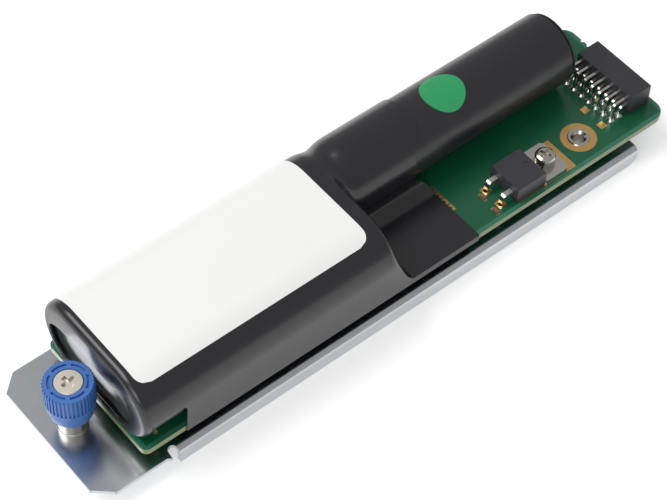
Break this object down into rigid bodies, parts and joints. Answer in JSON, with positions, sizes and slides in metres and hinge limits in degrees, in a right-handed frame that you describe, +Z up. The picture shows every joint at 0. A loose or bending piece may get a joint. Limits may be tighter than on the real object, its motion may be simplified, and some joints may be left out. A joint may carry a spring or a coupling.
{
  "type": "backup battery module",
  "caption": "Backup battery module: black shrink-wrapped cells and a bare cell on a green circuit board, on a folded steel tray with a blue captive thumbscrew.",
  "frame": {"origin": "centre of the overall box, at the lower edges of the tray's flanges", "axes": "+X along the tray from the thumbscrew to the connector, +Y towards the side with two cells in line, +Z up from the tray's underside to the cells"},
  "size_m": [0.1676, 0.0402, 0.0291],
  "materials": {
    "zinc_steel": "zinc plated, satin",
    "plated_hardware": "nickel plated, satin",
    "spring_steel": "drawn wire",
    "nickel_screw": "off-white nickel, dull",
    "blue_knob": "moulded, semi-matt mid blue",
    "green_board": "green solder mask over glass-fibre board",
    "gold_plate": "gold plated copper",
    "tin_solder": "bright tin",
    "cell_can": "nickel plated can, average weight of a lithium cell",
    "grey_sleeve": "shrunk sleeve, dark grey",
    "black_sleeve": "shrunk sleeve, semi-gloss black",
    "foam_tape": "white adhesive tape",
    "nickel_strip": "pure nickel strip, satin",
    "insulator_sheet": "grey fibre sheet, glossy",
    "black_disc": "black fibre paper",
    "black_film": "shrink film, semi-gloss black",
    "white_label": "printed label, satin laminate",
    "green_sticker": "printed paper dot",
    "sensor_epoxy": "black epoxy bead",
    "chip_epoxy": "moulded epoxy, matt black",
    "chip_ceramic": "ceramic chip, dark",
    "transistor_epoxy": "moulded epoxy, dark grey",
    "connector_plastic": "glass-filled plastic, matt black",
    "contact_tin": "tin plated bronze"
  },
  "bodies": {
    "tray_assembly": {"tray": "zinc_steel", "board_standoffs": "plated_hardware", "screw_ferrule": "plated_hardware", "circuit_board": "green_board", "board_pads": "gold_plate", "solder_joints": "tin_solder", "cell_front_near": "cell_can", "cell_front_far": "cell_can", "cell_rear": "cell_can", "sleeve_front_near": "grey_sleeve", "sleeve_front_far": "grey_sleeve", "sleeve_rear": "black_sleeve", "cell_tapes": "foam_tape", "strap_front": "nickel_strip", "strap_middle": "nickel_strip", "strap_rear": "nickel_strip", "insulator_front": "insulator_sheet", "insulator_rear": "black_disc", "shrink_film": "black_film", "battery_label": "white_label", "check_sticker": "green_sticker", "thermistor": "sensor_epoxy", "monitor_chip": "chip_epoxy", "chip_parts": "chip_ceramic", "transistor_body": "transistor_epoxy", "transistor_tab": "tin_solder", "transistor_leads": "tin_solder", "fixing_screw": "plated_hardware", "spring_washer": "plated_hardware", "flat_washer": "plated_hardware", "fixing_nut": "plated_hardware", "connector_housing": "connector_plastic", "upper_contacts": "contact_tin", "lower_contacts": "contact_tin"},
    "spring": {"screw_spring": "spring_steel"},
    "thumbscrew": {"thumb_knob": "blue_knob", "captive_screw": "nickel_screw"}
  },
  "joints": [
    {"name": "screw_push", "type": "slide", "parent": "tray_assembly", "child": "spring", "axis": [0, 0, -1], "range_m": [0, 0.004], "stiffness_N_per_m": 400, "springref_m": -0.003, "deforming": ["screw_spring"]},
    {"name": "screw_turn", "type": "hinge", "parent": "spring", "child": "thumbscrew", "pos_m": [-0.077, 0, 0.012], "axis": [0, 0, 1], "continuous": true}
  ]
}
